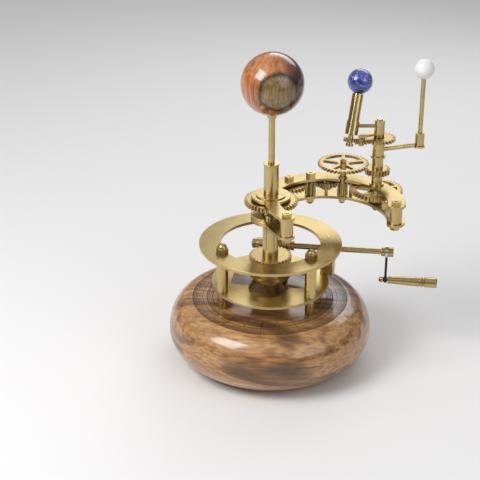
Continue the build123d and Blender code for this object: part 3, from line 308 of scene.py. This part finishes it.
def stone(name, main, second, vein, flecks, gloss, vein_share):
    "cloudy stone with veins and small flecks"
    shader = Shader(name)
    shader.set(Coat_Weight=gloss, Coat_Roughness=0.06)
    clouds = shader.noise(shader.place(), STONE_SCALE, 6.0, 0.65, 0.8)
    veins = shader.noise(shader.place(shift=(0.3, 0.1, 0.2)), STONE_SCALE * 0.8, 8.0, 0.6, 1.6)
    crack = shader.math("ABSOLUTE", shader.math("SUBTRACT", veins, 0.5))
    base = shader.ramp(clouds, (0.38, main), (0.66, second))
    veined = shader.mix(shader.range(crack, vein_share, 0.0, 0.0, VEIN_WIDTH), base, vein)
    spots = shader.noise(shader.place(shift=(0.7, 0.2, 0.5)), STONE_SCALE * 6.0, 2.0, 0.5)
    shader.colour(shader.mix(shader.range(spots, 0.0, 0.8, *FLECK_BAND), veined, flecks))
    shader.rough(shader.range(clouds, 0.42 - 0.26 * gloss, 0.55 - 0.26 * gloss))
    return shader.material


PLAIN_SCALE = 400.0
PLAIN_SHADE = 0.7


def plain(name, colour, roughness):
    "one matt colour with a slight mottle"
    shader = Shader(name)
    clouds = shader.noise(shader.place(), PLAIN_SCALE)
    shade = tuple(channel * PLAIN_SHADE for channel in colour)
    shader.colour(shader.mix(shader.range(clouds, 0.0, 1.0), colour, shade))
    shader.set(Roughness=roughness)
    return shader.material


TURNED_Z = (6, 6, 3200)
TURNED_X = (3200, 6, 6)
BRUSHED = (180, 3200, 180)
LEANING = tuple(joint_axis("earth").rotation_difference(Vector((0, 0, 1))).to_euler())
CHROME = (0.74, 0.74, 0.74)
CHROME_DARK = (0.5, 0.5, 0.5)
BLACKENED = (0.055, 0.05, 0.05)
BLACKENED_DARK = (0.02, 0.02, 0.02)

MATERIALS = {
    "base_wood": walnut("base_wood"),
    "felt": plain("felt", (0.03, 0.05, 0.035), 0.95),
    "plate_brass": metal("plate_brass", BRASS, BRASS_DARK, 0.30, BRUSHED, (0, 0, 0.5)),
    "turned_brass": metal("turned_brass", BRASS, BRASS_DARK, 0.24, TURNED_Z),
    "gear_brass": metal("gear_brass", GEAR, GEAR_DARK, 0.30, TURNED_Z),
    "steel": metal("steel", STEEL, STEEL_DARK, 0.24, TURNED_Z),
    "dark_steel": metal("dark_steel", BLACKENED, BLACKENED_DARK, 0.35, TURNED_Z),
    "chrome": metal("chrome", CHROME, CHROME_DARK, 0.14, TURNED_Z),
    "sun_wood": sun_wood("sun_wood"),
    "earth_stone": stone(
        "earth_stone",
        main=(0.012, 0.020, 0.16),
        second=(0.045, 0.075, 0.42),
        vein=(0.42, 0.45, 0.60),
        flecks=(0.60, 0.60, 0.62),
        gloss=0.9,
        vein_share=0.55,
    ),
    "moon_stone": stone(
        "moon_stone",
        main=(0.86, 0.86, 0.85),
        second=(0.78, 0.78, 0.77),
        vein=(0.55, 0.55, 0.56),
        flecks=(0.95, 0.95, 0.95),
        gloss=0.05,
        vein_share=0.30,
    ),
}
LATHED_RING = metal(
    "lathed_ring", BRASS, BRASS_DARK, 0.30, BRUSHED, round_about=(0, 0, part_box("ring_plate")[1][2])
)
LATHED_PLATE = metal(
    "lathed_plate", BRASS, BRASS_DARK, 0.30, BRUSHED, round_about=(0, 0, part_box("lower_plate")[1][2])
)
LEANING_BRASS = metal("turned_brass_leaning", BRASS, BRASS_DARK, 0.22, TURNED_Z, LEANING)
LYING_BRASS = metal("turned_brass_lying", BRASS, BRASS_DARK, 0.24, TURNED_X)
BURNT = plain("burnt_wood", (0.022, 0.010, 0.005), 0.8)

# Metal pieces with softened edges; widths in mm

BEVEL_WIDTH = {
    "ring_plate": 0.30,
    "lower_plate": 0.25,
    "upper_arm_plate": 0.28,
    "lower_arm_plate": 0.28,
    "ring_cap_nuts": 0.22,
    "frame_pillars": 0.25,
    "arm_pillars": 0.30,
    "arm_nuts": 0.18,
    "stud_nuts": 0.12,
    "hub_cap": 0.12,
    "arm_column": 0.30,
    "drive_wheel": 0.10,
    "sun_gear": 0.07,
    "first_idler": 0.07,
    "long_pinion": 0.06,
    "second_idler": 0.07,
    "compound_pinion": 0.06,
    "spoked_wheel": 0.08,
    "third_idler": 0.06,
    "head_gear": 0.07,
    "moon_gear": 0.07,
    "spin_gear": 0.07,
    "head_idler": 0.05,
    "earth_pinion": 0.05,
    "worm": 0.06,
    "sun_socket": 0.22,
    "sun_ferrule": 0.20,
    "moon_tube": 0.20,
    "moon_boss": 0.30,
    "moon_socket": 0.20,
    "moon_arm": 0.12,
    "head_hub": 0.30,
    "head_screw": 0.12,
    "hub_screws": 0.08,
    "flange_screws": 0.12,
    "ring_bracket": 0.30,
    "shaft_bearings": 0.25,
    "end_collars": 0.25,
    "clamp_ring": 0.20,
    "idler_bracket": 0.12,
    "head_bar": 0.10,
    "plate_standoffs": 0.15,
    "fixed_post": 0.12,
    "gear_studs": 0.15,
    "earth_column_bush": 0.12,
    "head_foot_nut": 0.12,
    "crank_shaft": 0.20,
    "crank_arm": 0.12,
}
SHARP_ANGLE = math.radians(32)
FLAT_ANGLE = math.radians(0.5)
WELD_DISTANCE = 1e-6
BEVEL_SEGMENTS = 2
LYING = ("crank_shaft", "crank_grip", "end_collars", "ball_nut", "head_bar", "moon_arm")


def edge_weld(mesh):
    "join the corners of the triangles and dissolve edges inside flat faces"
    body = bmesh.new()
    body.from_mesh(mesh)
    bmesh.ops.remove_doubles(body, verts=body.verts, dist=WELD_DISTANCE)
    bmesh.ops.dissolve_limit(body, angle_limit=FLAT_ANGLE, verts=body.verts, edges=body.edges)
    body.to_mesh(mesh)
    body.free()


def softened(node, width):
    "copy of a node with bevelled sharp edges, standing for it"
    source = frame["nodes"][node]
    mesh = source.data.copy()
    edge_weld(mesh)
    piece = bpy.data.objects.new(node + "_soft", mesh)
    bpy.context.scene.collection.objects.link(piece)
    bevel = piece.modifiers.new("bevel", "BEVEL")
    bevel.width = width * MM
    bevel.segments = BEVEL_SEGMENTS
    bevel.limit_method = "ANGLE"
    bevel.angle_limit = SHARP_ANGLE
    bevel.use_clamp_overlap = True
    bevel.harden_normals = True
    smooth(mesh)
    apply_modifiers(piece)
    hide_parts(node)
    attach(piece, BODY_OF[node])
    return piece


def smooth(mesh):
    "smooth shading, with edges over SHARP_ANGLE kept sharp"
    body = bmesh.new()
    body.from_mesh(mesh)
    for face in body.faces:
        face.smooth = True
    for edge in body.edges:
        edge.smooth = len(edge.link_faces) == 2 and edge.calc_face_angle(0.0) < SHARP_ANGLE
    body.to_mesh(mesh)
    body.free()


def apply_modifiers(piece):
    "put the evaluated mesh in place of the mesh and its modifiers"
    graph = bpy.context.evaluated_depsgraph_get()
    mesh = bpy.data.meshes.new_from_object(piece.evaluated_get(graph))
    piece.modifiers.clear()
    piece.data = mesh


def paint(piece, material):
    piece.data.materials.clear()
    piece.data.materials.append(material)


OWN_FINISH = {
    "ring_plate": LATHED_RING,
    "lower_plate": LATHED_PLATE,
    "tilted_sleeve": LEANING_BRASS,
    "earth_spindle": LEANING_BRASS,
}
for lying_node in LYING:
    OWN_FINISH[lying_node] = LYING_BRASS

for node, cad_object in frame["nodes"].items():
    material = OWN_FINISH.get(node, MATERIALS[SLOT_OF[node]])
    if node in BEVEL_WIDTH:
        paint(softened(node, BEVEL_WIDTH[node]), material)
    else:
        for entry in cad_object.material_slots:
            entry.material = material

# Burnt calendar dial on the base; radii, widths and sizes in mm, angles in degrees

DIAL_LIFT = 0.03
DIAL_RINGS = (
    (49.5, 0.60),
    (48.6, 0.30),
    (47.6, 0.30),
    (46.6, 0.30),
    (43.2, 0.30),
    (40.4, 0.45),
    (39.2, 0.30),
    (38.0, 0.30),
    (36.8, 0.45),
    (33.0, 0.30),
)
RING_STEPS = 240
MONTHS = 12
DAYS = 360
DAYS_A_MONTH = DAYS // MONTHS
DAYS_A_NUMBER = 5
DAY_TICK = (47.6, 48.8, 0.22)
FIFTH_DAY_TICK = (46.6, 48.8, 0.22)
INNER_TICK = (39.4, 40.4, 0.18)
MONTH_LINE = (33.0, 49.6, 0.35)
NUMBER_LINE = (43.2, 46.6, 0.18)
MONTH_NUMBER = (41.8, 2.9)
HALF_YEAR_NUMBER = (34.9, 2.9)
DAY_NUMBER = (45.4, 2.1)


def ring_faces(body, inner, outer, level):
    "flat ring, radii in metres"
    rows = []
    for radius in (inner, outer):
        row = []
        for step in range(RING_STEPS):
            turn = 2 * math.pi * step / RING_STEPS
            row.append(body.verts.new((radius * math.cos(turn), radius * math.sin(turn), level)))
        rows.append(row)
    for step in range(RING_STEPS):
        after = (step + 1) % RING_STEPS
        body.faces.new((rows[0][step], rows[1][step], rows[1][after], rows[0][after]))


def bar_face(body, bar, angle, level):
    "flat bar (inner radius, outer radius, width) pointing outwards at an angle"
    inner, outer, width = (length * MM for length in bar)
    turn = math.radians(angle)
    along = Vector((math.cos(turn), math.sin(turn), 0))
    across = Vector((-along.y, along.x, 0)) * width / 2
    lift = Vector((0, 0, level))
    corners = [
        along * inner - across,
        along * outer - across,
        along * outer + across,
        along * inner + across,
    ]
    body.faces.new([body.verts.new(corner + lift) for corner in corners])


def dial():
    "rings and ticks on the top of the base"
    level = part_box("base")[1][2] + DIAL_LIFT * MM
    body = bmesh.new()
    for radius, width in DIAL_RINGS:
        ring_faces(body, (radius - width / 2) * MM, (radius + width / 2) * MM, level)
    for day in range(DAYS):
        tick = FIFTH_DAY_TICK if day % DAYS_A_NUMBER == 0 else DAY_TICK
        bar_face(body, tick, day, level)
        if day % 2 == 0:
            bar_face(body, INNER_TICK, day, level)
    for month in range(MONTHS):
        bar_face(body, MONTH_LINE, DAYS_A_MONTH * month, level)
        for part in range(1, DAYS_A_MONTH // DAYS_A_NUMBER):
            bar_face(body, NUMBER_LINE, DAYS_A_MONTH * month + DAYS_A_NUMBER * part, level)
    mesh = bpy.data.meshes.new("dial_lines")
    body.to_mesh(mesh)
    body.free()
    piece = bpy.data.objects.new("dial_lines", mesh)
    bpy.context.scene.collection.objects.link(piece)
    return piece


def number(text, place, angle, level):
    "text (radius, size) readable from the middle outwards"
    radius, size = place
    turn = math.radians(angle)
    curve = bpy.data.curves.new("number", "FONT")
    curve.body = text
    curve.size = size * MM
    curve.align_x = "CENTER"
    curve.align_y = "CENTER"
    piece = bpy.data.objects.new("number", curve)
    bpy.context.scene.collection.objects.link(piece)
    where = Vector((radius * math.cos(turn), radius * math.sin(turn), 0)) * MM
    upright = Matrix.Rotation(turn + math.pi / 2, 4, "Z")
    piece.matrix_world = Matrix.Translation((where.x, where.y, level)) @ upright
    return piece


def numbers():
    "two rows of month numbers and one row of day numbers, as one mesh"
    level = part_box("base")[1][2] + DIAL_LIFT * MM
    pieces = []
    for month in range(MONTHS):
        start = DAYS_A_MONTH * month
        middle = start + DAYS_A_MONTH / 2
        opposite = (month + MONTHS // 2) % MONTHS
        pieces.append(number(str(month + 1), MONTH_NUMBER, middle, level))
        pieces.append(number(str(opposite + 1), HALF_YEAR_NUMBER, middle, level))
        for part in range(DAYS_A_MONTH // DAYS_A_NUMBER):
            first_day = DAYS_A_NUMBER * part
            last_day = first_day + DAYS_A_NUMBER
            angle = start + first_day + DAYS_A_NUMBER / 2
            pieces.append(number(str(last_day), DAY_NUMBER, angle, level))
    bpy.context.view_layer.update()
    graph = bpy.context.evaluated_depsgraph_get()
    body = bmesh.new()
    for piece in pieces:
        mesh = bpy.data.meshes.new_from_object(piece.evaluated_get(graph))
        mesh.transform(piece.matrix_world)
        body.from_mesh(mesh)
        bpy.data.meshes.remove(mesh)
    for piece in pieces:
        bpy.data.objects.remove(piece)
    mesh = bpy.data.meshes.new("dial_numbers")
    body.to_mesh(mesh)
    body.free()
    result = bpy.data.objects.new("dial_numbers", mesh)
    bpy.context.scene.collection.objects.link(result)
    return result


for mark in (dial(), numbers()):
    paint(mark, BURNT)
    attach(mark, "frame")

# Floor, light and camera; places in metres, camera angles in degrees

CAMERA_PLACE = (0.0816, -0.6763, 0.4108)
CAMERA_TILT = 64.15
CAMERA_TURN = 8.5
LENS = 90.0
SENSOR_WIDTH = 36.0
FLOOR_REACH = 6.0
FLOOR_COLOUR = (0.80, 0.79, 0.78)
SKY_STRENGTH = 0.55
HORIZON = (0.02, (0.22, 0.21, 0.20, 1.0))
ZENITH = (0.75, (0.95, 0.96, 1.0, 1.0))

# Name, place, point looked at, size and power
LAMPS = (
    ("key", (-0.45, -0.35, 0.65), (0, 0, 0.10), (0.40, 0.40), 5.0),
    ("fill", (0.60, -0.45, 0.45), (0, 0, 0.10), (0.50, 0.50), 1.1),
    ("back", (0.15, 0.65, 0.55), (0, 0, 0.12), (0.60, 0.30), 1.6),
)


def floor():
    mesh = bpy.data.meshes.new("floor")
    signs = ((-1, -1), (1, -1), (1, 1), (-1, 1))
    corners = [(x * FLOOR_REACH, y * FLOOR_REACH, 0) for x, y in signs]
    mesh.from_pydata(corners, [], [(0, 1, 2, 3)])
    piece = bpy.data.objects.new("floor", mesh)
    bpy.context.scene.collection.objects.link(piece)
    shader = Shader("floor")
    shader.set(Base_Color=(*FLOOR_COLOUR, 1.0), Roughness=0.8)
    mesh.materials.append(shader.material)


def lamp(name, place, target, size, power):
    light = bpy.data.lights.new(name, "AREA")
    light.shape = "RECTANGLE"
    light.size, light.size_y = size
    light.energy = power
    piece = bpy.data.objects.new(name, light)
    bpy.context.scene.collection.objects.link(piece)
    piece.location = place
    piece.rotation_euler = (Vector(target) - Vector(place)).to_track_quat("-Z", "Y").to_euler()


def world():
    "white to the camera; to everything else a soft sky that darkens towards the horizon"
    sky = bpy.data.worlds.new("studio")
    bpy.context.scene.world = sky
    sky.use_nodes = True
    tree = sky.node_tree
    tree.nodes.clear()
    output = tree.nodes.new("ShaderNodeOutputWorld")
    where = tree.nodes.new("ShaderNodeTexCoord")
    split = tree.nodes.new("ShaderNodeSeparateXYZ")
    band = tree.nodes.new("ShaderNodeValToRGB")
    for element, (place, colour) in zip(band.color_ramp.elements, (HORIZON, ZENITH)):
        element.position = place
        element.color = colour
    tree.links.new(where.outputs["Generated"], split.inputs[0])
    tree.links.new(split.outputs["Z"], band.inputs["Fac"])
    soft = tree.nodes.new("ShaderNodeBackground")
    soft.inputs["Strength"].default_value = SKY_STRENGTH
    tree.links.new(band.outputs["Color"], soft.inputs["Color"])
    white = tree.nodes.new("ShaderNodeBackground")
    white.inputs["Color"].default_value = (1.0, 1.0, 1.0, 1.0)
    path = tree.nodes.new("ShaderNodeLightPath")
    blend = tree.nodes.new("ShaderNodeMixShader")
    tree.links.new(path.outputs["Is Camera Ray"], blend.inputs["Fac"])
    tree.links.new(soft.outputs[0], blend.inputs[1])
    tree.links.new(white.outputs[0], blend.inputs[2])
    tree.links.new(blend.outputs[0], output.inputs["Surface"])


def camera():
    lens = bpy.data.cameras.new("camera")
    lens.lens = LENS
    lens.sensor_width = SENSOR_WIDTH
    lens.clip_start = 0.01
    piece = bpy.data.objects.new("camera", lens)
    bpy.context.scene.collection.objects.link(piece)
    piece.location = CAMERA_PLACE
    piece.rotation_euler = (math.radians(CAMERA_TILT), 0, math.radians(CAMERA_TURN))
    bpy.context.scene.camera = piece


floor()
world()
for settings in LAMPS:
    lamp(*settings)
camera()
bpy.context.scene.view_settings.view_transform = "Standard"
